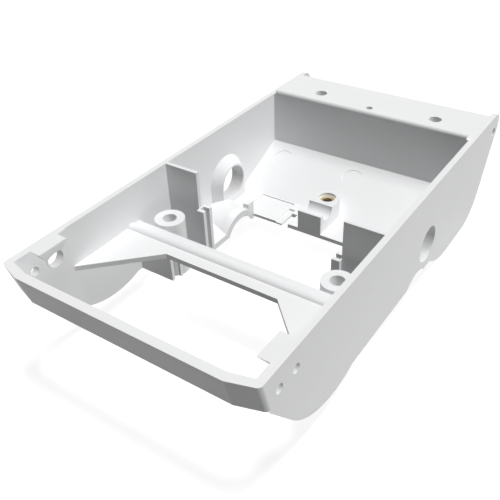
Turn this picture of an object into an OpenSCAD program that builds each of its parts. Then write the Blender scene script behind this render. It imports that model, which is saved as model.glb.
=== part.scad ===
// Lower body of a pool cleaner: one white moulding, open at the top, and its brass insert.
// It is drawn with the nose edge at y = 0 and the rim at z = 0, then placed on its lowest point.

/* [Body] */
// Outer width across the side walls
body_w = 160; // [144:1:200]
// Length from the nose edge to the back edge of the rear flange
body_l = 302; // [290:1:340]
// Thickness of the side walls
wall = 3.8; // [3:0.1:5]
// Depth from the rim to the lowest point of the front keel
front_depth = 65.2; // [63:0.2:72]
// Distance from the nose edge to the lowest point of the front keel
front_low_y = 73; // [70:0.5:76]
// Radius of the front keel
front_keel_r = 56; // [50:0.5:60]
// Depth from the rim to the lowest point of the rear keel
rear_depth = 73.4; // [69:0.1:80]
// Depth from the rim to the underside of the floor
floor_depth = 61.8; // [58:0.1:64]
// Distance from the flange's back edge to the front end of the rear keel
rear_keel_start = 100.5; // [98:0.5:104]
// Distance from the flange's back edge to the front corner of the rear keel
rear_keel_low = 84.7; // [82:0.1:88]
// Radius of that corner
rear_keel_r = 58; // [50:1:62]
// Distance from the flange's back edge to the rear corner of the keel
tail_low = 19; // [17:0.5:22]
// Radius of that corner
tail_r = 34; // [28:1:36]
// How far the bend below the ear stands behind the flange
tail_bend_reach = 3.2; // [2:0.1:5]
// Depth of that bend below the rim
tail_bend_depth = 27; // [25:0.5:30]
// Radius of that bend
tail_bend_r = 30; // [24:1:32]
// How far the top rear ears stand behind the flange
ear_reach = 11.3; // [10:0.1:14]
// Height of the straight back of an ear, from the rim to its lower corner
ear_h = 12; // [11:0.1:13]
// Radius of the ear's lower corner
ear_low_r = 8; // [6:0.5:9]
// Radius of the ear's top corner
ear_top_r = 7.5; // [4:0.5:7.5]
// Radius of the pin hole in each ear
ear_hole_r = 3.2; // [2:0.1:3.6]
// Distance of the ear's pin hole behind the flange
ear_hole_behind = 2.5; // [1:0.1:4]
// Depth of the ear's pin hole below the rim
ear_hole_depth = 12.6; // [11:0.1:14]

/* [Nose] */
// Height of the nose bar
nose_h = 20.2; // [17:0.1:24]
// Backward lean of the nose bar in degrees
nose_lean = 15.2; // [8:0.1:18]
// Width of the straight middle of the nose bar
nose_flat_w = 128.8; // [116:0.1:134]
// How far the side walls start behind the nose edge
nose_set_back = 4.7; // [3:0.1:7]
// Thickness of the nose bar along the length
nose_t = 5.3; // [4:0.1:6.5]
// Radius of the front corners of the nose
nose_corner_r = 1; // [0.4:0.1:2]
// Radius of the edges between the nose corners and the side walls
nose_edge_r = 2.8; // [1:0.1:5]
// How far the inner corners of the bar stand in from the outer ones
nose_inner_corner = 1.4; // [0.6:0.1:2.4]
// How far the bar's inner face falls back from those corners to the walls
nose_inner_set_back = 3.2; // [2:0.1:4.4]
// Length of the thicker stretch of wall behind the nose
cheek_l = 44; // [42:0.5:48]
// Extra thickness of that stretch
cheek_t = 0.8; // [0.4:0.1:1.4]

/* [Nose pads and pin holes] */
// Distance from the nose edge to the front of a pad
pad_y = 19.2; // [17:0.1:22]
// Length of a pad along the wall
pad_l = 19; // [15:0.1:21]
// How far a pad reaches in from the wall
pad_reach = 7.9; // [5:0.1:10]
// Thickness of a pad at its inner edge
pad_t = 1.2; // [1:0.1:3]
// Height of the wedge below a pad
pad_drop = 12; // [8:0.1:12.6]
// How far the front of a pad leans back over that height
pad_lean = 7.9; // [4:0.1:10]
// Radius of the pin holes in the side walls
pin_hole_r = 2.8; // [2:0.1:3.4]
// Front pin hole, distance from the nose edge
pin_a_y = 18.9; // [17:0.1:21]
// Rear pin hole, distance from the nose edge
pin_b_y = 33; // [31:0.1:35]
// Depth of both pin holes below the rim
pin_z = 13.1; // [12:0.1:14]
// Radius of the larger hole in the left wall, in line with the rear pin hole
bush_hole_r = 5.3; // [3.5:0.1:5.6]
// Width of the thin ring round that hole
bush_ring_w = 0.7; // [0.5:0.1:1.2]
// How far that ring stands in from the thick wall
bush_ring_h = 0.8; // [0.4:0.1:1.6]

/* [Cross shelf] */
// Depth from the rim to the top of the shelf
shelf_depth = 26.6; // [24:0.1:30]
// Thickness of the shelf
shelf_t = 3.2; // [2.5:0.1:4]
// Distance from the nose edge to the back edge of the shelf
shelf_back_y = 102; // [98:0.5:106]
// Width of the shelf from its back edge to the straight front edge
shelf_depth_y = 20.2; // [18:0.1:24]
// Length of the straight front edge
shelf_front_w = 77.2; // [68:0.1:86]
// Height of the front bead above the shelf
bead_h = 2; // [1.2:0.1:3]
// Radius of the front bead
bead_r = 3.6; // [3:0.1:4.2]
// Radius of the back bead
back_bead_r = 3.2; // [2.6:0.1:3.6]
// Height of the back bead above the shelf
back_bead_h = 0.3; // [0.1:0.1:1]
// How far the two beads run into each other
bead_overlap = 0.8; // [0.4:0.1:1.4]

/* [Screw posts] */
// Distance between the two posts
post_spacing = 119; // [112:0.5:122]
// Distance from the shelf's back edge to the post axis
post_behind = 8.3; // [7:0.1:9]
// Radius of a post
post_r = 9.6; // [8:0.1:10.5]
// Height of the post tops above the shelf
post_rise = 2; // [1:0.1:4]
// Radius of the screw holes in the posts
post_hole_r = 4.5; // [3:0.1:5.5]
// Depth of those holes
post_hole_depth = 15; // [8:0.5:25]

/* [Partitions] */
// Distance from the nose edge to the upper partitions
partition_y = 130; // [126:0.5:136]
// Thickness of every partition and lip
rib_t = 2.6; // [2:0.1:3.2]
// Gap between the inner edges of the upper partitions
partition_gap = 103.2; // [100:0.2:108]
// Depth from the rim to the top of the guide channels
guide_depth = 25.9; // [22:0.1:30]
// How far a guide channel reaches in from its partition
guide_w = 5.4; // [4:0.1:7]
// Width of the slot in a guide channel
guide_slot = 3.5; // [3:0.1:4.5]
// Gap between the inner edges of the lower partitions
lower_gap = 100.4; // [94:0.2:104]
// Distance from the shelf's back edge to the front of the lower partitions
lower_before = 5.6; // [5:0.1:6.2]
// Thickness of the lower partitions and of the lips behind them
lower_t = 2.2; // [1.8:0.1:2.8]
// Width of the slot between a lower partition and its lip
lower_slot = 5.9; // [5:0.1:6.4]
// How far the top of that lip lies below the shelf
lower_lip_drop = 6; // [3:0.5:12]
// Thickness of the outer side of a guide channel
guide_web = 0.8; // [0.8:0.1:1.4]

/* [Throat and floor] */
// Width of the throat, the opening through the floor
throat_w = 97.6; // [93:0.2:102]
// Thickness of the floor
floor_t = 2.9; // [2.4:0.1:3.4]
// How far the rim of the throat, the posts and the lips before them hang below the floor
throat_rim_h = 1.5; // [0.5:0.1:2]
// Length of the flat floor, from its front edge to the foot of the slope
floor_l = 26; // [24:0.1:30]
// Depth of the shallow recess in the floor
recess_t = 0.9; // [0.4:0.1:1.2]
// Distance from the middle plane to the far edge of the recess
recess_x = 57; // [52:0.5:62]
// Length of the recess from the floor's front edge
recess_l = 25; // [20:0.5:25.5]
// Length of the sloping panel along the body
slope_l = 45.6; // [42:0.1:50]
// Depth from the rim to the top of the slope
slope_top_depth = 38.7; // [35:0.1:42]
// Thickness of the slope, rear wall and flange
panel_t = 3.2; // [2.5:0.1:4]
// Depth of the flange from the foot of the rear wall to its back edge
flange_l = 44; // [40:0.5:48]
// Height of the lip on the flange's front edge, above the rim
flange_lip_h = 3; // [2:0.1:4]
// Thickness of that lip
flange_lip_t = 3.2; // [3.2:0.1:5]
// Gap between each end of the lip and the side wall
flange_lip_gap = 1.4; // [0.6:0.1:3]
// Radius of the lip's front edge
flange_edge_r = 2.6; // [1:0.1:2.6]
// Radius of the lip's back edge
flange_lip_back_r = 0.5; // [0.2:0.1:0.5]
// Radius of the hollow between the floor and the slope
slope_foot_r = 4; // [2:0.5:8]
// Radius of the hollows behind the slope and under the flange
back_fillet_r = 2; // [1:0.1:3]
// Radius of the flange's back edge
flange_back_r = 0.8; // [0.3:0.1:1.4]
// Radius of the three round marks on the slope
mark_r = 7.8; // [5:0.1:9]
// Distance between neighbouring marks
mark_spacing = 60.4; // [54:0.2:63]
// Distance of the marks behind the foot of the slope
mark_behind = 32; // [28:0.5:36]
// Depth of the marks
mark_t = 0.6; // [0.2:0.1:0.8]

/* [Floor notch] */
// Left edge of the notch, from the middle plane
notch_x = 24.8; // [23:0.1:27]
// Width of the notch
notch_w = 5.1; // [4:0.1:6]
// Length of the notch from the floor's front edge
notch_l = 13.2; // [10:0.1:16]
// Width of the step beside the notch
step_w = 4.8; // [3:0.1:6]
// Length of that step
step_l = 18; // [15:0.1:21]
// Thickness of the floor at that step
step_t = 1.2; // [0.8:0.1:1.6]

/* [Side bores] */
// Radius of the large bores through the side walls
side_bore_r = 12.25; // [9:0.05:13]
// Distance of the bore axis behind the floor's front edge
side_bore_behind = 6; // [4:0.1:9]
// Depth of the bore axis below the rim
side_bore_depth = 42.6; // [40:0.1:44]
// Radius of the flared boss where it meets the wall
side_boss_r = 19.2; // [17.5:0.1:21]
// Radius of the flared boss at its inner face
side_boss_face_r = 13.3; // [13.3:0.1:16]
// How far the boss stands in from the wall
side_boss_h = 6.6; // [4:0.1:9]

/* [Arches] */
// Height of the arch under the side wall
arch_wall_rise = 4.8; // [4:0.1:6]
// Half width of the arch under the side wall
arch_wall_half = 13; // [10:0.1:14]
// Height of the arch at its mouth in the throat
arch_mouth_rise = 6.5; // [5.5:0.1:7.5]
// Half width of the arch at its mouth
arch_mouth_half = 12.7; // [11:0.1:14]
// Height of the roof at the side wall
arch_roof_wall_rise = 9; // [8:0.1:10]
// Half width of the roof at the side wall
arch_roof_wall_half = 16.9; // [16:0.1:18]
// Height of the roof at its ridge near the mouth
arch_ridge_rise = 12.4; // [11.4:0.1:13.4]
// Half width of the roof at that ridge
arch_ridge_half = 16; // [15:0.1:17]
// Height of the roof at the mouth
arch_lip_rise = 11.4; // [10:0.1:11.8]
// Half width of the roof at the mouth
arch_lip_half = 19; // [18:0.1:20]
// Distance from the mouth to the ridge
arch_lip_l = 5.6; // [4:0.1:8]
// Distance of the arch's wall end before the floor's front edge
arch_wall_before = 7.4; // [5:0.1:10]
// Distance of the arch's mouth before the floor's front edge
arch_mouth_before = 16.4; // [14:0.1:19]
// Width of the small block where the left arch meets the floor
lip_block_w = 4.6; // [3:0.1:6]
// Distance of that block's front before the floor's front edge
lip_block_l = 6.2; // [4:0.1:8]
// Height of that block above the underside of the floor
lip_block_h = 12.4; // [11:0.1:14]

/* [Insert block] */
// Offset of the block to the left of the middle plane
block_offset = 2.4; // [0:0.1:6]
// Width of the block
block_w = 18; // [16:0.1:22]
// Height of the block above the floor pad
block_h = 14.2; // [12:0.1:15]
// Distance of the insert axis behind the floor's front edge
insert_behind = 25.6; // [24:0.1:28]
// Radius of the trough across the block
trough_r = 6.4; // [5:0.1:7]
// Distance of the trough's axis behind the floor's front edge
trough_behind = 9.4; // [8.8:0.1:10.5]
// Outer radius of the threaded insert
insert_r = 5.2; // [4.5:0.05:6]
// Length of the insert
insert_l = 9; // [7:0.1:9.4]
// Length of each gripping band of the insert
insert_band_l = 3.4; // [2:0.1:3.4]
// Depth of the groove between the bands
insert_groove_t = 0.6; // [0.3:0.1:1]
// Radial room of the insert in its seat
insert_room = 0.05; // [0.02:0.01:0.1]
// Radius of the insert's threaded hole, measured at the crests
insert_bore_r = 2.5; // [1.6:0.05:3.5]
// Depth of the thread, which the pocket below clears
thread_t = 0.5; // [0.3:0.05:0.6]
// Depth of the counterbore above the insert
counterbore_t = 2.4; // [1.5:0.1:3]
// Radial room of the counterbore round the insert
counterbore_room = 0.9; // [0.4:0.1:1.6]
// Depth of the pocket below the insert for the end of the screw
screw_pocket = 2; // [0.5:0.1:3]

/* [Flange holes] */
// Distance between the two screw holes in the flange
flange_hole_spacing = 91.2; // [80:0.2:110]
// Distance of those holes before the flange's back edge
flange_hole_before = 24.8; // [20:0.1:28]
// Radius of those holes
flange_hole_r = 4.4; // [3:0.1:5]
// Depth of those holes
flange_hole_depth = 12; // [8:0.5:16]
// Wall of the bosses round the blind holes of the flange
flange_boss_wall = 3; // [2:0.1:4]
// Radius of the small locating hole
locating_hole_r = 2.5; // [1.5:0.1:3]
// Distance of the locating hole before the flange's back edge
locating_before = 30.8; // [26:0.1:32]
// Depth of the locating hole
locating_depth = 9; // [6:0.5:12]

/* [Hidden] */
cut = 0.5;
fine = 96;
inner_x = body_w / 2 - wall;
floor_front = body_l - flange_l - slope_l - floor_l;
slope_foot = floor_front + floor_l;
rear_wall_y = body_l - flange_l;
floor_top = floor_t - floor_depth;
low_depth = floor_depth + throat_rim_h;
nose_bottom_y = nose_set_back + nose_h * tan(nose_lean);
shelf_top = -shelf_depth;
shelf_bottom = shelf_top - shelf_t;
shelf_front_y = shelf_back_y - shelf_depth_y;
post_y = shelf_back_y + post_behind;
post_top = shelf_top + post_rise;
partition_x = partition_gap / 2;
guide_y = partition_y - rib_t;
guide_l = guide_slot + 2 * rib_t;
lower_y = shelf_back_y - lower_before;
slope_rise = floor_depth - floor_t - slope_top_depth;
slope_angle = atan2(slope_rise, slope_l);
mouth_x = throat_w / 2;
side_bore_y = floor_front + side_bore_behind;
arch_wall_y = floor_front - arch_wall_before;
arch_mouth_y = floor_front - arch_mouth_before;
block_x = -block_offset;
block_top = floor_top + block_h;
insert_y = floor_front + insert_behind;
insert_top = block_top - counterbore_t;
flange_hole_y = body_l - flange_hole_before;
ear_hole_y = body_l + ear_hole_behind;
part_depth = max(front_depth, rear_depth);
part_l = body_l + ear_reach;

// Turns a corner [y, z, radius] into the points of its rounding
function corner(a, b, c) =
    let (u = unit(a, b), v = unit(c, b))
    let (half = acos(max(-0.9999, min(0.9999, u * v))) / 2)
    let (reach = b[2] / tan(half))
    let (middle = unit([0, 0], u + v))
    let (centre = [b[0], b[1]] - middle * b[2] / sin(half))
    let (from = [b[0], b[1]] - u * reach - centre)
    let (to = [b[0], b[1]] - v * reach - centre)
    let (start = atan2(from[1], from[0]))
    let (raw = atan2(to[1], to[0]) - start)
    let (turn = raw > 180 ? raw - 360 : raw < -180 ? raw + 360 : raw)
    let (steps = ceil(abs(turn) / 6))
    b[2] == 0 ? [[b[0], b[1]]] : [for (i = [0:steps]) centre + b[2] * direction(start + turn * i / steps)];

// Unit vector from a towards b
function unit(a, b) = [b[0] - a[0], b[1] - a[1]] / norm([b[0] - a[0], b[1] - a[1]]);

function direction(angle) = [cos(angle), sin(angle)];

// Outline with each corner [y, z, radius] rounded
function rounded(points) =
    let (n = len(points))
    [for (i = [0:n - 1]) each corner(points[(i + n - 1) % n], points[i], points[(i + 1) % n])];

// Radius of the circle with this half chord and rise
function arc_radius(half, rise) = (half * half + rise * rise) / (2 * rise);

// Front keel: a straight slant from the foot of the nose, then an arc up to the level of the floor
function keel_arc() =
    let (z = front_keel_r - front_depth)
    let (away = [front_low_y - nose_bottom_y, z + nose_h])
    let (from = atan2(away[1], away[0]) - asin(front_keel_r / norm(away)) - 90)
    let (to = acos((z + floor_depth) / front_keel_r) - 90)
    [for (i = [24:-1:0]) [front_low_y, z] + front_keel_r * direction(from + (to - from) * i / 24)];

// Draws a y-z outline as a slab between two places across the body
module slab(from_x, to_x) {
    translate([from_x, 0, 0])
        rotate([90, 0, 90])
            linear_extrude(to_x - from_x)
                children();
}

// Repeats a shape on both sides of the body
module both_sides() {
    children();
    mirror([1, 0, 0])
        children();
}

// Side view of a wall: rim, nose, front keel, middle, rear keel and ear
module wall_outline() {
    top = rounded([
        [body_l - rear_keel_start, -floor_depth, 0],
        [body_l - rear_keel_low, -rear_depth, rear_keel_r],
        [body_l - tail_low, -rear_depth, tail_r],
        [body_l + tail_bend_reach, -tail_bend_depth, tail_bend_r],
        [body_l + ear_reach, -ear_h, ear_low_r],
        [body_l + ear_reach, 0, ear_top_r],
        [0, 0, 0],
        [0, -nose_h, 0],
        [nose_bottom_y, -nose_h, 0]
    ]);
    polygon(concat(keel_arc(), [for (i = [len(top) - 1:-1:0]) top[i]]));
}

module side_wall() {
    difference() {
        union() {
            slab(inner_x, body_w / 2)
                wall_outline();
            slab(inner_x - cheek_t, inner_x + cut)
                intersection() {
                    wall_outline();
                    translate([0, -front_depth])
                        square([cheek_l, front_depth]);
                }
        }
        nose_prism()
            difference() {
                translate([-body_w, -body_w])
                    square([2 * body_w, body_w + 4 * nose_t]);
                nose_plan();
            }
    }
}

// Plan of the nose and the start of the walls
module nose_plan() {
    corner_x = nose_flat_w / 2;
    side = body_w / 2;
    back = 6 * nose_t;
    polygon(rounded([[-side, back, 0], [-side, nose_set_back, nose_edge_r], [-corner_x, 0, nose_corner_r],
        [corner_x, 0, nose_corner_r], [side, nose_set_back, nose_edge_r], [side, back, 0]]));
}

// Raises a plan to the height of the nose bar, leaning back from the rim down
module nose_prism() {
    multmatrix([[1, 0, 0, 0], [0, 1, -tan(nose_lean), 0], [0, 0, 1, 0]])
        translate([0, 0, -nose_h])
            linear_extrude(nose_h)
                children();
}

module nose_bar() {
    side = inner_x - cheek_t;
    corner_x = nose_flat_w / 2 - nose_inner_corner;
    wall_y = nose_t + nose_inner_set_back;
    nose_prism()
        difference() {
            nose_plan();
            polygon([[-side, 7 * nose_t], [-side, wall_y], [-corner_x, nose_t],
                [corner_x, nose_t], [side, wall_y], [side, 7 * nose_t]]);
        }
}

// Wedge pad on the right wall, with its front face leaning back
module nose_pad() {
    intersection() {
        translate([0, pad_y + pad_l, 0])
            rotate([90, 0, 0])
                linear_extrude(pad_l)
                    polygon([[inner_x - pad_reach, 0], [inner_x + cut, 0], [inner_x + cut, -pad_drop],
                        [inner_x - cheek_t, -pad_drop], [inner_x - pad_reach, -pad_t]]);
        slab(inner_x - pad_reach, inner_x + cut)
            polygon([[pad_y, 0], [pad_y + pad_l, 0], [pad_y + pad_l, -pad_drop],
                [pad_y + pad_lean, -pad_drop]]);
    }
}

// Thin ring on the left wall, round the larger hole
module bush_ring() {
    translate([-inner_x - cut, pin_b_y, -pin_z])
        rotate([0, 90, 0])
            cylinder(h = cut + cheek_t + bush_ring_h, r = bush_hole_r + bush_ring_w, $fn = fine);
}

module cross_shelf() {
    reach = inner_x + cut;
    half = shelf_front_w / 2;
    slant_y = shelf_front_y - (reach - half);
    end_y = shelf_back_y - back_bead_r;
    translate([0, 0, shelf_bottom])
        linear_extrude(shelf_t)
            polygon([[-half, shelf_front_y], [half, shelf_front_y], [reach, slant_y],
                [reach, end_y], [-reach, end_y], [-reach, slant_y]]);
    shelf_bead(shelf_back_y - 2 * back_bead_r - bead_r + bead_overlap, shelf_top + bead_h - bead_r, bead_r);
    shelf_bead(shelf_back_y - back_bead_r, shelf_top + back_bead_h - back_bead_r, back_bead_r);
}

module shelf_bead(y, z, r) {
    translate([-inner_x - cut, y, z])
        rotate([0, 90, 0])
            cylinder(h = 2 * (inner_x + cut), r = r, $fn = fine);
}

module post() {
    translate([post_spacing / 2, post_y, -low_depth])
        cylinder(h = post_top + low_depth, r = post_r, $fn = fine);
}

module post_hole() {
    translate([post_spacing / 2, post_y, post_top - post_hole_depth])
        cylinder(h = post_hole_depth + cut, r = post_hole_r, $fn = fine);
}

// Plate below the shelf and the short lip behind it, which leave a guide slot
module lower_partition() {
    translate([lower_gap / 2, lower_y, -floor_depth])
        cube([inner_x + cut - lower_gap / 2, lower_t, shelf_bottom + floor_depth + cut]);
    translate([lower_gap / 2, lower_y + lower_t + lower_slot, -low_depth])
        cube([post_spacing / 2 - lower_gap / 2, lower_t, shelf_bottom + low_depth - lower_lip_drop]);
}

module upper_partition() {
    translate([partition_x, partition_y, -floor_depth])
        cube([inner_x + cut - partition_x, rib_t, floor_depth]);
}

// Guide channel at the inner edge of a partition, with its slot open to the throat
module guide_channel() {
    translate([partition_x - guide_w, guide_y, -floor_depth])
        difference() {
            cube([guide_w, guide_l, floor_depth - guide_depth]);
            translate([-cut, rib_t, -cut])
                cube([guide_w - guide_web + cut, guide_slot, floor_depth]);
        }
}

// Floor beside the throat, from the guide channel to the rear floor, with the rim below its edge
module side_floor() {
    length = floor_front + cut - partition_y;
    translate([mouth_x, partition_y, -floor_depth])
        cube([inner_x + cut - mouth_x, length, floor_t]);
    translate([mouth_x, partition_y, -low_depth])
        cube([rib_t, length, throat_rim_h + cut]);
}

// Disc across the body that cuts the underside of the floor with this half width and rise
module arch_disc(x, y, half, rise) {
    r = arc_radius(half, rise);
    translate([x, y, rise - floor_depth - r])
        rotate([0, 90, 0])
            cylinder(h = cut / 2, r = r, $fn = 48);
}

// Roof that climbs from the side wall to a ridge and falls again to the mouth
module arch_roof() {
    intersection() {
        union() {
            hull() {
                arch_disc(mouth_x, arch_mouth_y, arch_lip_half, arch_lip_rise);
                arch_disc(mouth_x + arch_lip_l, arch_mouth_y, arch_ridge_half, arch_ridge_rise);
            }
            hull() {
                arch_disc(mouth_x + arch_lip_l, arch_mouth_y, arch_ridge_half, arch_ridge_rise);
                arch_disc(inner_x, arch_wall_y, arch_roof_wall_half, arch_roof_wall_rise);
            }
        }
        translate([0, 0, -floor_depth])
            cube([inner_x + cut, body_l, 2 * arch_ridge_rise]);
    }
}

module arch_tunnel() {
    hull() {
        arch_disc(mouth_x - cut, arch_mouth_y, arch_mouth_half, arch_mouth_rise);
        arch_disc(body_w / 2 + cut, arch_wall_y, arch_wall_half, arch_wall_rise);
    }
}

// Small block where the left arch lip meets the floor
module lip_block() {
    translate([-mouth_x - lip_block_w, floor_front - lip_block_l, -floor_depth])
        cube([lip_block_w, lip_block_l + cut, lip_block_h]);
}

// Side view of the floor, slope, rear wall and flange as one bent panel
module rear_section() {
    below = panel_t / cos(slope_angle);
    polygon(rounded([
        [floor_front, -floor_depth, 0],
        [floor_front, floor_top, 0],
        [slope_foot, floor_top, slope_foot_r],
        [rear_wall_y, -slope_top_depth, flange_back_r],
        [rear_wall_y, 0, 0],
        [body_l, 0, flange_back_r],
        [body_l, -panel_t, flange_back_r],
        [rear_wall_y + panel_t, -panel_t, back_fillet_r],
        [rear_wall_y + panel_t, -slope_top_depth - below + panel_t * tan(slope_angle), back_fillet_r],
        [slope_foot + panel_t, -floor_depth, slope_foot_r]
    ]));
}

// Rear floor and slope, with the recess, the notch and the step beside the notch
module rear_floor() {
    step_x = notch_x + step_w;
    difference() {
        slab(-inner_x - cut, inner_x + cut)
            rear_section();
        translate([-notch_x, floor_front - cut, -floor_depth - cut])
            cube([notch_w, notch_l + cut, floor_t + 2 * cut]);
        translate([-step_x, floor_front - cut, step_t - floor_depth])
            cube([step_w + cut, step_l + cut, floor_t]);
        translate([-recess_x, floor_front - cut, floor_top - recess_t])
            cube([recess_x - step_x + cut, recess_l + cut, 2 * recess_t]);
        for (x = [-mark_spacing, 0, mark_spacing])
            slope_mark(x);
    }
}

// Lip that carries the rear wall on above the flange, short of the side walls
module flange_lip() {
    half = inner_x - flange_lip_gap;
    slab(-half, half)
        polygon(rounded([
            [rear_wall_y, -panel_t / 2, 0],
            [rear_wall_y, flange_lip_h, flange_edge_r],
            [rear_wall_y + flange_lip_t, flange_lip_h, flange_lip_back_r],
            [rear_wall_y + flange_lip_t, -panel_t / 2, 0]
        ]));
}

// Round mark sunk into the slope, square to its face
module slope_mark(x) {
    translate([x, slope_foot + mark_behind, floor_top + mark_behind * tan(slope_angle)])
        rotate([slope_angle, 0, 0])
            translate([0, 0, -mark_t])
                cylinder(h = mark_t + 2 * cut, r = mark_r, $fn = fine);
}

module side_boss() {
    translate([inner_x - side_boss_h, side_bore_y, -side_bore_depth]) {
        rotate([0, 90, 0])
            cylinder(h = side_boss_h, r1 = side_boss_face_r, r2 = side_boss_r, $fn = fine);
        translate([0, 0, side_bore_depth - floor_depth])
            linear_extrude(floor_depth - side_bore_depth)
                polygon([[0, -side_boss_face_r], [side_boss_h + cut, -side_boss_r],
                    [side_boss_h + cut, side_boss_r], [0, side_boss_face_r]]);
    }
}

// Block on the floor: front wall, trough across it and a boss for the insert
module insert_block() {
    height = block_top + floor_depth;
    difference() {
        translate([block_x, 0, -floor_depth])
            linear_extrude(height) {
                translate([-block_w / 2, floor_front])
                    square([block_w, insert_behind]);
                translate([0, insert_y])
                    circle(r = block_w / 2, $fn = fine);
            }
        translate([block_x - block_w, floor_front + trough_behind, block_top])
            rotate([0, 90, 0])
                cylinder(h = 2 * block_w, r = trough_r, $fn = fine);
    }
}

// Counterbore, seat of the insert and pocket for the end of the screw
module insert_seat() {
    translate([block_x, insert_y, insert_top - insert_l])
        cylinder(h = insert_l + cut, r = insert_r + insert_room, $fn = fine);
    translate([block_x, insert_y, insert_top])
        cylinder(h = counterbore_t + cut, r = insert_r + counterbore_room, $fn = fine);
    translate([block_x, insert_y, insert_top - insert_l - screw_pocket])
        cylinder(h = screw_pocket + cut, r = insert_bore_r + thread_t, $fn = fine);
}

module side_bore() {
    reach = side_boss_h + wall + 2 * cut;
    translate([body_w / 2 + cut - reach, side_bore_y, -side_bore_depth])
        rotate([0, 90, 0])
            cylinder(h = reach, r = side_bore_r, $fn = fine);
}

module flange_boss(x, y, r, depth) {
    translate([x, y, -depth - flange_boss_wall])
        cylinder(h = depth + flange_boss_wall - cut, r = r + flange_boss_wall, $fn = fine);
}

module blind_hole(x, y, r, depth) {
    translate([x, y, -depth])
        cylinder(h = depth + cut, r = r, $fn = fine);
}

// Hole across the body from one place to another
module cross_hole(y, z, r, from_x, to_x) {
    translate([from_x, y, z])
        rotate([0, 90, 0])
            cylinder(h = to_x - from_x, r = r, $fn = fine);
}

module moulding() {
    difference() {
        union() {
            both_sides() {
                side_wall();
                nose_pad();
                post();
                lower_partition();
                upper_partition();
                guide_channel();
                side_floor();
                arch_roof();
                side_boss();
                flange_boss(flange_hole_spacing / 2, flange_hole_y, flange_hole_r, flange_hole_depth);
            }
            nose_bar();
            cross_shelf();
            lip_block();
            bush_ring();
            rear_floor();
            flange_lip();
            insert_block();
            flange_boss(block_x, body_l - locating_before, locating_hole_r, locating_depth);
        }
        both_sides() {
            arch_tunnel();
            side_bore();
            post_hole();
            blind_hole(flange_hole_spacing / 2, flange_hole_y, flange_hole_r, flange_hole_depth);
        }
        blind_hole(block_x, body_l - locating_before, locating_hole_r, locating_depth);
        cross_hole(pin_a_y, -pin_z, pin_hole_r, -body_w, body_w);
        cross_hole(pin_b_y, -pin_z, pin_hole_r, 0, body_w);
        cross_hole(pin_b_y, -pin_z, bush_hole_r, -body_w, 0);
        cross_hole(ear_hole_y, -ear_hole_depth, ear_hole_r, -body_w, body_w);
        insert_seat();
    }
}

// Puts the part on its lowest point, with its middle over the origin
module placed() {
    translate([0, -part_l / 2, part_depth])
        children();
}

module lower_body() {
    color("whitesmoke")
        placed()
            moulding();
}

// Turned brass insert: two gripping bands with a groove between them, and the threaded hole
module threaded_insert() {
    top_band = insert_l - insert_band_l;
    waist_r = insert_r - insert_groove_t;
    color("goldenrod")
        placed()
            translate([block_x, insert_y, insert_top - insert_l])
                rotate_extrude($fn = fine)
                    polygon([[insert_bore_r, 0], [insert_r, 0], [insert_r, insert_band_l],
                        [waist_r, insert_band_l + insert_groove_t], [waist_r, top_band - insert_groove_t],
                        [insert_r, top_band], [insert_r, insert_l], [insert_bore_r + thread_t, insert_l],
                        [insert_bore_r, insert_l - thread_t]]);
}

lower_body();
threaded_insert();
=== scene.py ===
import math

import bmesh
import bpy
from mathutils import Matrix, Vector


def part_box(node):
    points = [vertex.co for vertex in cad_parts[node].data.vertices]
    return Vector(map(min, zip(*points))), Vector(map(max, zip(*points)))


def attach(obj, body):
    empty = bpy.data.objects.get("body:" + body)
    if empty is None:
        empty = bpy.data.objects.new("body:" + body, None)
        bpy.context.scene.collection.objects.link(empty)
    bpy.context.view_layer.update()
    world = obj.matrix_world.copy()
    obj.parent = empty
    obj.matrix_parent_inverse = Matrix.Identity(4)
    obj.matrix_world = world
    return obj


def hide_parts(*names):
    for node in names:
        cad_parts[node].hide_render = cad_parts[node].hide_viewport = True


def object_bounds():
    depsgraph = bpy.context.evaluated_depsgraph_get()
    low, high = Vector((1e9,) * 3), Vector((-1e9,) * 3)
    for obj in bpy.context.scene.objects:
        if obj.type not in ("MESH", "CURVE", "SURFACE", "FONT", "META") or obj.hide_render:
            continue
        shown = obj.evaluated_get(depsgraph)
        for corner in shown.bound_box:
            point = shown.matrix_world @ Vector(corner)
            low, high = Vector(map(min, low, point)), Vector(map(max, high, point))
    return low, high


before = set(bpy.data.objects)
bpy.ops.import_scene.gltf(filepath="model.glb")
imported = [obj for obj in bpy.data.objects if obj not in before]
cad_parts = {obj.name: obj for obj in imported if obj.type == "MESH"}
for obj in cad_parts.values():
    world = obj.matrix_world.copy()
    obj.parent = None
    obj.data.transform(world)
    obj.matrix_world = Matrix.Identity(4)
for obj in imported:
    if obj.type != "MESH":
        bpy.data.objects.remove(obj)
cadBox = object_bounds()
print("frame loaded:", ", ".join(sorted(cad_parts)))

# Camera, placed where the photograph was taken from
cameraSpot = {
    "place": (0.186909, -0.302920, 0.278152),
    "right": (0.832250, 0.553804, -0.025716),
    "up": (-0.308516, 0.501176, 0.808480),
    "back": (0.460627, -0.664924, 0.587961),
    "focal": 667.47 / 500,        # focal length over the picture's width
    "middle": (260.66 / 500, 248.47 / 500),    # where the lens looks, over the picture's width
    "sensor": 36,
    "reach": (0.01, 20),
}


def makeCamera(spot):
    data = bpy.data.cameras.new("camera")
    data.sensor_width = spot["sensor"]
    data.lens = spot["focal"] * spot["sensor"]
    data.shift_x = 0.5 - spot["middle"][0]
    data.shift_y = spot["middle"][1] - 0.5
    data.clip_start, data.clip_end = spot["reach"]
    camera = bpy.data.objects.new("camera", data)
    turn = Matrix((spot["right"], spot["up"], spot["back"])).transposed()
    camera.matrix_world = Matrix.Translation(spot["place"]) @ turn.to_4x4()
    bpy.context.scene.collection.objects.link(camera)
    bpy.context.scene.camera = camera


makeCamera(cameraSpot)
print("camera placed")


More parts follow.
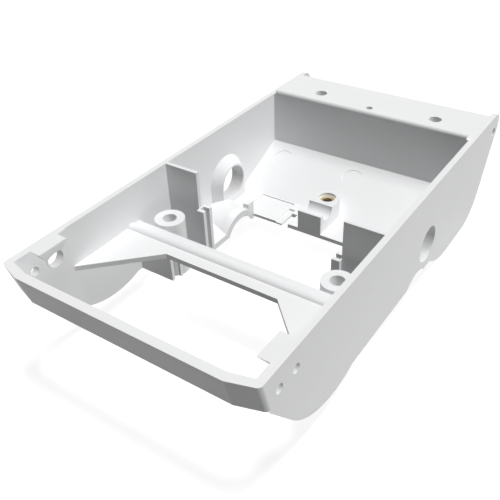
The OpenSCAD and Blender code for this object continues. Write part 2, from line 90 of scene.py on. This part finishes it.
class Wire:
    # an output socket that can be used in plain arithmetic
    def __init__(self, finish, socket):
        self.finish, self.socket = finish, socket

    def maths(self, operation, *pair):
        return self.finish.node("ShaderNodeMath", {"operation": operation}, pair)

    def beside(self, name):
        # another output of the same node
        return Wire(self.finish, self.socket.node.outputs[name])

    def __add__(self, other): return self.maths("ADD", self, other)
    def __radd__(self, other): return self.maths("ADD", other, self)
    def __sub__(self, other): return self.maths("SUBTRACT", self, other)
    def __rsub__(self, other): return self.maths("SUBTRACT", other, self)
    def __mul__(self, other): return self.maths("MULTIPLY", self, other)
    def __rmul__(self, other): return self.maths("MULTIPLY", other, self)


class Finish:
    # the shader of one material or world and the nodes that feed it
    def __init__(self, owner, shader="Principled BSDF", output="Material Output", **settings):
        owner.use_nodes = True
        self.owner, self.tree = owner, owner.node_tree
        self.shader, self.output = self.tree.nodes[shader], self.tree.nodes[output]
        self.feed(**settings)

    def node(self, kind, settings=None, sockets=(), output=0):
        made = self.tree.nodes.new(kind)
        for key, value in (settings or {}).items():
            setattr(made, key, value)
        named = sockets.items() if isinstance(sockets, dict) else enumerate(sockets)
        for key, value in named:
            self.join(made.inputs[key], value)
        return Wire(self, made.outputs[output])

    def join(self, target, value):
        if isinstance(value, Wire):
            self.tree.links.new(value.socket, target)
        else:
            target.default_value = value

    def feed(self, **sockets):
        for key, value in sockets.items():
            self.join(self.shader.inputs[key.replace("_", " ")], value)

    def show(self, wire):
        self.join(self.output.inputs["Surface"], wire)

    def place(self):
        return self.node("ShaderNodeTexCoord", output="Object")

    def vectors(self, operation, *sockets):
        return self.node("ShaderNodeVectorMath", {"operation": operation}, sockets)

    def noise(self, vector, scale, detail=2.0, roughness=0.5):
        return self.node("ShaderNodeTexNoise", {}, {
            "Vector": vector, "Scale": scale, "Detail": detail, "Roughness": roughness})

    def blend(self, factor, first, second):
        colours = {0: factor, 6: first, 7: second}     # the sockets of a colour mix
        return self.node("ShaderNodeMix", {"data_type": "RGBA"}, colours, output=2)

    def bump(self, height, distance, strength=1.0):
        return self.node("ShaderNodeBump", {}, {
            "Height": height, "Distance": distance, "Strength": strength})


# White moulding: satin surface of a moulded part, with faint flow of the melt and a fine grain
mouldedWhite = {
    "colour": (0.722, 0.725, 0.729, 1),
    "flowColour": (0.702, 0.706, 0.712, 1),
    "flow": (26, 3.0, 0.55),      # scale, detail and roughness of patches of about 4 cm
    "grain": (1500, 2.0, 0.6),    # the same for a grain of about 0.7 mm
    "waves": (55, 1.0, 0.4),      # and for slow waves of the walls where they shrank
    "grainHeight": 0.000012,
    "wavesHeight": 0.00005,
    "roughness": 0.37,
    "grainRoughness": 0.06,
    "flowRoughness": 0.04,
}


def makeMouldedWhite(look):
    finish = Finish(bpy.data.materials.new("moulded_white"), IOR=1.5)
    place = finish.place()
    flow = finish.noise(place, *look["flow"])
    grain = finish.noise(place, *look["grain"])
    waves = finish.noise(place, *look["waves"])
    colour = finish.blend(flow, look["colour"], look["flowColour"])
    roughness = look["roughness"] + grain * look["grainRoughness"] + flow * look["flowRoughness"]
    height = grain * look["grainHeight"] + waves * look["wavesHeight"]
    finish.feed(Base_Color=colour, Roughness=roughness, Normal=finish.bump(height, 1.0))
    return finish.owner


def dress(node, material):
    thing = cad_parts[node]
    thing.data.materials.clear()
    thing.data.materials.append(material)


dress("lower_body", makeMouldedWhite(mouldedWhite))
print("white moulding finished")


# Brass insert with a cut thread inside and two knurled bands outside
brassInsert = {
    "steps": 96,                  # facets round the axis
    "rootRadius": 0.00308,        # bottom of the thread's groove
    "crestRadius": 0.0025,        # where the thread is narrowest
    "pitch": 0.00127,
    "crestWidth": 0.00016,
    "flankPart": 0.58,            # height of a flank over the thread's depth
    "runOut": 0.3,                # where the thread stops before each end, in pitches
    "ridgeRooted": 0.0002,        # how deep the ridge is rooted in the wall
    "threadSteps": 48,            # facets of one turn of the thread
    "knurlDepth": 0.00022,
    "knurlReach": 0.00001,        # points this close to the outside belong to the bands
    "chamfer": 0.00035,
    "grooveDepth": 0.0006,
    "bandPart": 0.38,             # length of a band over the insert's length
    "colour": (0.74, 0.62, 0.36, 1),
    "tarnish": (0.60, 0.47, 0.25, 1),
    "paintedBoreShade": (0.10, 0.07, 0.04, 1),    # painted shade: the cut thread inside coloured near black, standing in for the shade in the bore
    "paintedShadeRoom": 0.0001,          # how far past the groove the painted shade reaches
    "paintedShadeDull": 0.8,             # metallic look that the painted shade takes away
    "paintedShadeRoughness": 0.35,
    "patches": (420, 3.0, 0.6),   # scale, detail and roughness of the tarnish
    "tarnishPart": 0.7,
    "ringScale": 1300,            # turning marks
    "ringWander": 0.6,
    "ringHeight": 0.000012,
    "roughness": 0.24,
    "patchRoughness": 0.16,
    "ringRoughness": 0.05,
}


def makeTurnedBrass(look, centre):
    finish = Finish(bpy.data.materials.new("turned_brass"))
    place = finish.place()
    shift = (-centre.x, -centre.y, 0)
    centred = finish.node("ShaderNodeMapping", {}, {"Vector": place, "Location": shift})
    flat = finish.vectors("MULTIPLY", centred, (1, 1, 0))
    outward = finish.vectors("LENGTH", flat).beside("Value")
    # painted shade: points inside the thread's root, in the bore, are made dark, duller and rougher
    inside = outward.maths("LESS_THAN", outward, look["rootRadius"] + look["paintedShadeRoom"])
    rings = finish.node("ShaderNodeTexWave", {"wave_type": "RINGS", "rings_direction": "Z"}, {
        "Vector": centred, "Scale": look["ringScale"], "Distortion": look["ringWander"], "Detail": 1.0})
    patches = finish.noise(place, *look["patches"])
    turned = finish.blend(patches * look["tarnishPart"], look["colour"], look["tarnish"])
    # the bore's painted shade takes the place of the brass colour inside
    colour = finish.blend(inside, turned, look["paintedBoreShade"])
    roughness = (look["roughness"] + patches * look["patchRoughness"]
                 + rings * look["ringRoughness"] + inside * look["paintedShadeRoughness"])
    finish.feed(Base_Color=colour, Metallic=1 - inside * look["paintedShadeDull"], Roughness=roughness,
                Normal=finish.bump(rings, look["ringHeight"]))
    return finish.owner


def spun(profile, centre, steps, turn=2 * math.pi, climb=0.0):
    # a profile of (radius, height) points turned round the insert's axis
    mesh = bmesh.new()
    points = [mesh.verts.new((centre.x + radius, centre.y, height)) for radius, height in profile]
    edges = [mesh.edges.new((points[i], points[(i + 1) % len(points)])) for i in range(len(points))]
    bmesh.ops.spin(mesh, geom=points + edges, cent=(centre.x, centre.y, 0), axis=(0, 0, 1),
                   dvec=(0, 0, climb / steps), angle=turn, steps=steps,
                   use_merge=climb == 0, use_duplicate=False)
    return mesh


def asPiece(mesh, name):
    bmesh.ops.remove_doubles(mesh, verts=mesh.verts, dist=1e-7)
    bmesh.ops.recalc_face_normals(mesh, faces=mesh.faces)
    data = bpy.data.meshes.new(name)
    mesh.to_mesh(data)
    mesh.free()
    thing = bpy.data.objects.new(name, data)
    bpy.context.scene.collection.objects.link(thing)
    return thing


def makeInsert(look):
    low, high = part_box("threaded_insert")
    centre = (low + high) / 2
    outer, length = (high.x - low.x) / 2, high.z - low.z
    band, deep = length * look["bandPart"], look["grooveDepth"]
    root, crest, edge = look["rootRadius"], look["crestRadius"], look["chamfer"]
    body = spun([
        (root, low.z + edge), (root + edge, low.z), (outer - edge, low.z), (outer, low.z + edge),
        (outer, low.z + band), (outer - deep, low.z + band + deep),
        (outer - deep, high.z - band - deep), (outer, high.z - band),
        (outer, high.z - edge), (outer - edge, high.z), (root + edge, high.z), (root, high.z - edge),
    ], centre, look["steps"])
    for vert in body.verts:                    # every other column of the bands is pressed in
        away = Vector((vert.co.x - centre.x, vert.co.y - centre.y))
        column = round(math.atan2(away.y, away.x) / (2 * math.pi) * look["steps"])
        if away.length > outer - look["knurlReach"] and column % 2:
            vert.co.x -= away.x / away.length * look["knurlDepth"]
            vert.co.y -= away.y / away.length * look["knurlDepth"]
    insert = asPiece(body, "brass_insert")
    pitch, rooted = look["pitch"], root + look["ridgeRooted"]
    flank = (root - crest) * look["flankPart"]
    turns = (length - 2 * edge) / pitch - 2 * look["runOut"]
    start = low.z + edge + look["runOut"] * pitch
    halfCrest = look["crestWidth"] / 2
    ridge = spun([
        (rooted, start - halfCrest - flank), (rooted, start + halfCrest + flank),
        (crest, start + halfCrest), (crest, start - halfCrest),
    ], centre, round(turns * look["threadSteps"]), turn=turns * 2 * math.pi, climb=turns * pitch)
    bmesh.ops.holes_fill(ridge, edges=[side for side in ridge.edges if side.is_boundary])
    thread = asPiece(ridge, "insert_thread")
    joined = insert.modifiers.new("thread", "BOOLEAN")
    joined.operation, joined.solver, joined.object = "UNION", "EXACT", thread
    graph = bpy.context.evaluated_depsgraph_get()
    data = bpy.data.meshes.new_from_object(insert.evaluated_get(graph))
    insert.modifiers.clear()
    insert.data = data
    bpy.data.objects.remove(thread)
    insert.data.materials.clear()
    insert.data.materials.append(makeTurnedBrass(look, centre))
    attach(insert, "root")
    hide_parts("threaded_insert")
    return insert


makeInsert(brassInsert)
print("brass insert made")


# Pale floor, plain background and soft studio light
studio = {
    "floorSize": 6.0,
    "floorDrop": 0.0001,          # keeps the floor just clear of the keels
    "floorColour": (0.12, 0.12, 0.12, 1),
    "floorRoughness": 0.9,
    "floorSeen": (0.96, 0.96, 0.96, 1),
    "floorGlow": 0.06,            # keeps the shadow on the seen floor pale
    "sky": 0.02,
    # each lamp's direction, strength on a face turned to it, softness in degrees, and shadows
    "lamps": [
        ("overhead", (0.10, 0.12, 1.00), 0.33, 16, True),
        ("overheadFill", (0.10, 0.12, 1.00), 0.78, 16, False),
        ("side", (1.00, 0.30, 0.05), 0.46, 30, False),
    ],
}


def seenDirectly(finish):
    # 1 for what the camera sees, straight or in a reflection, and 0 for light on its way
    camera = finish.node("ShaderNodeLightPath", output="Is Camera Ray")
    either = camera.maths("MAXIMUM", camera, camera.beside("Is Glossy Ray"))
    return camera.maths("MAXIMUM", either, camera.beside("Is Transmission Ray"))


def makeFloor(look):
    mesh = bmesh.new()
    bmesh.ops.create_grid(mesh, x_segments=1, y_segments=1, size=look["floorSize"] / 2)
    low, high = cadBox
    for vert in mesh.verts:
        vert.co.z = low.z - look["floorDrop"]
    floor = asPiece(mesh, "floor")
    finish = Finish(bpy.data.materials.new("floor_paper"),
                    Base_Color=look["floorColour"], Roughness=look["floorRoughness"])
    shown = finish.node("ShaderNodeBsdfDiffuse", {}, {"Color": look["floorSeen"]})
    glow = finish.node("ShaderNodeEmission", {}, {"Strength": look["floorGlow"]})
    seen = finish.node("ShaderNodeAddShader", {}, (shown, glow))
    plain = Wire(finish, finish.shader.outputs[0])
    finish.show(finish.node("ShaderNodeMixShader", {}, (seenDirectly(finish), plain, seen)))
    floor.data.materials.append(finish.owner)


def makeLight(look):
    for name, towards, strength, softness, shadows in look["lamps"]:
        data = bpy.data.lights.new(name, "SUN")
        data.energy = strength * math.pi
        data.angle = math.radians(softness)
        data.use_shadow = shadows
        lamp = bpy.data.objects.new(name, data)
        lamp.matrix_world = Vector(towards).to_track_quat("Z", "Y").to_matrix().to_4x4()
        bpy.context.scene.collection.objects.link(lamp)
    world = bpy.data.worlds.new("studio")
    bpy.context.scene.world = world
    white = (1, 1, 1, 1)
    finish = Finish(world, "Background", "World Output", Color=white, Strength=look["sky"])
    seen = finish.node("ShaderNodeBackground", {}, {"Color": white, "Strength": 1.0})
    sky = Wire(finish, finish.shader.outputs[0])
    finish.show(finish.node("ShaderNodeMixShader", {}, (seenDirectly(finish), sky, seen)))


makeFloor(studio)
makeLight(studio)
bpy.context.scene.view_settings.view_transform = "Standard"
print("floor and light set")
